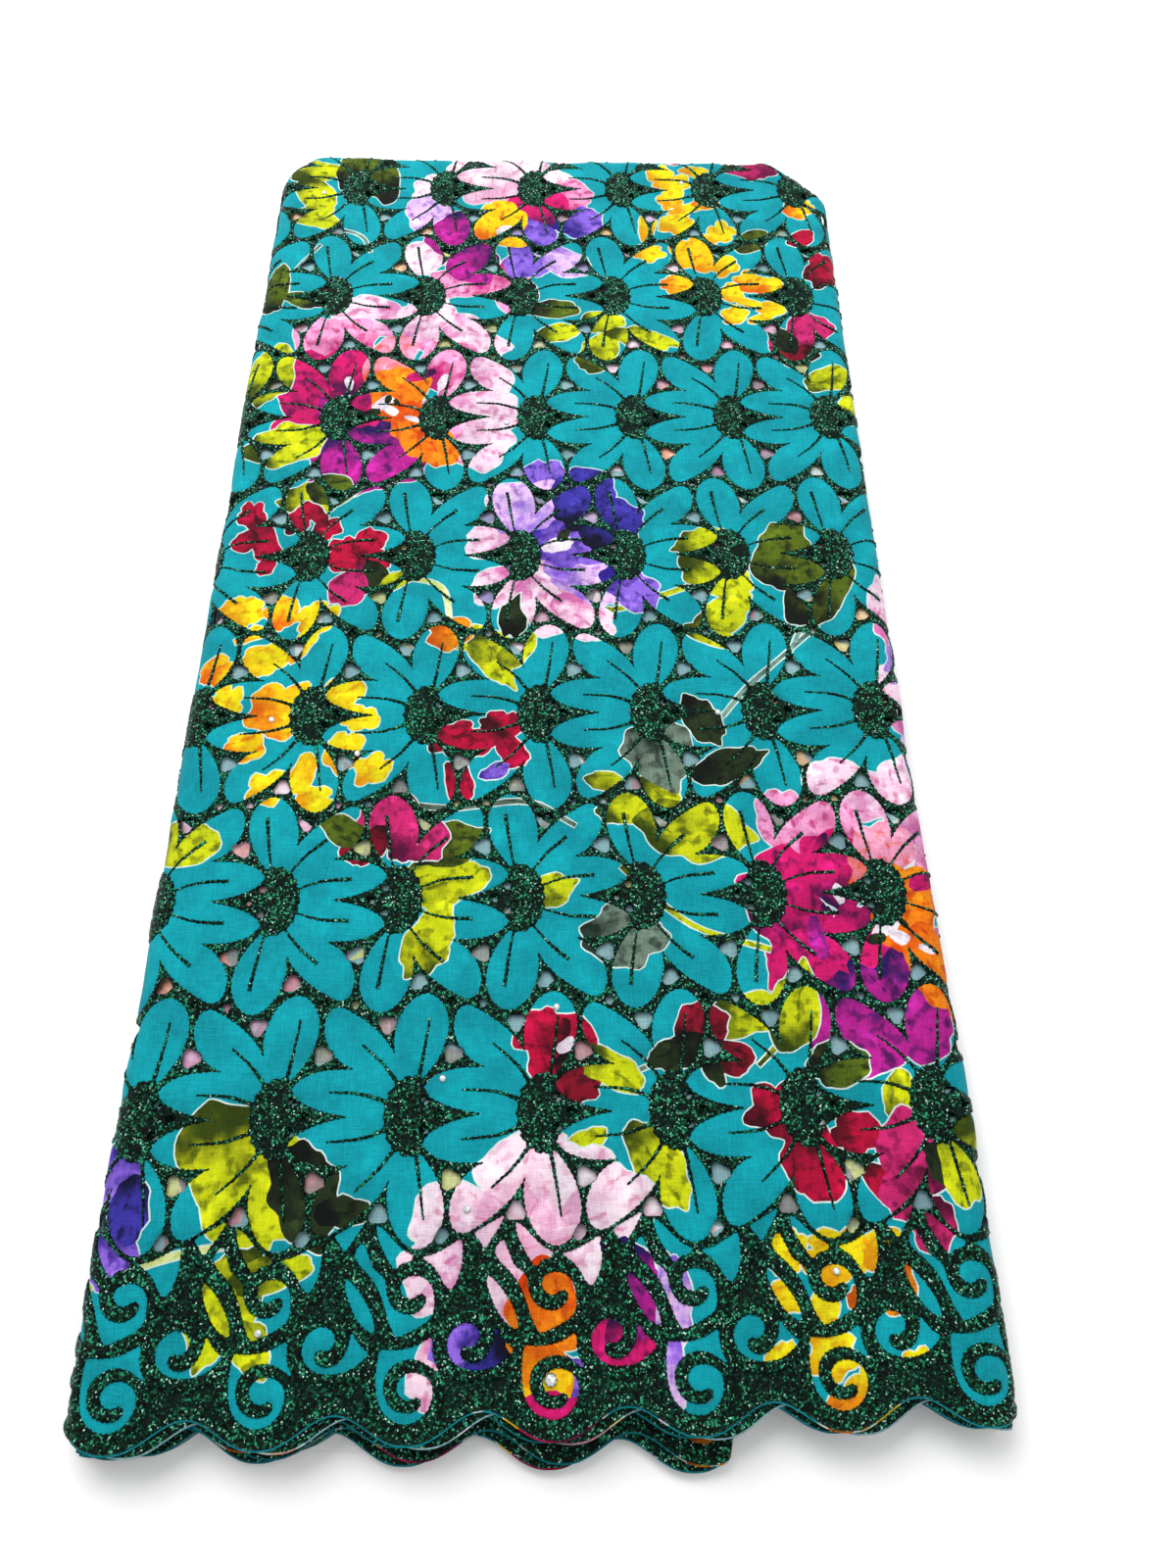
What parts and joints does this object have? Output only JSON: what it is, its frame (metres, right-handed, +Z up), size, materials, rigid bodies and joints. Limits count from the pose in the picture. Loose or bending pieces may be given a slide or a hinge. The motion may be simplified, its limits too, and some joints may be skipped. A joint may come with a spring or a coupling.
{
  "type": "folded embroidered voile fabric",
  "caption": "Folded length of printed cotton voile with all-over metallic embroidery, cutwork holes and a scalloped border, lying flat.",
  "frame": {"origin": "middle of the pack's footprint, on the surface that it lies on", "axes": "+Z up, +Y from the scalloped hem towards the lengthwise fold, +X to the right seen from the hem"},
  "size_m": [0.3566, 0.7196, 0.02],
  "materials": {
    "voile": "matt fine cotton, watercolour print",
    "metallic_thread": "dark green embroidery with glittering metal thread",
    "rhinestone": "faceted, silvered"
  },
  "bodies": {
    "root": {"top_panel": "voile", "second_ply": "voile", "folded_core": "voile"}
  },
  "joints": []
}
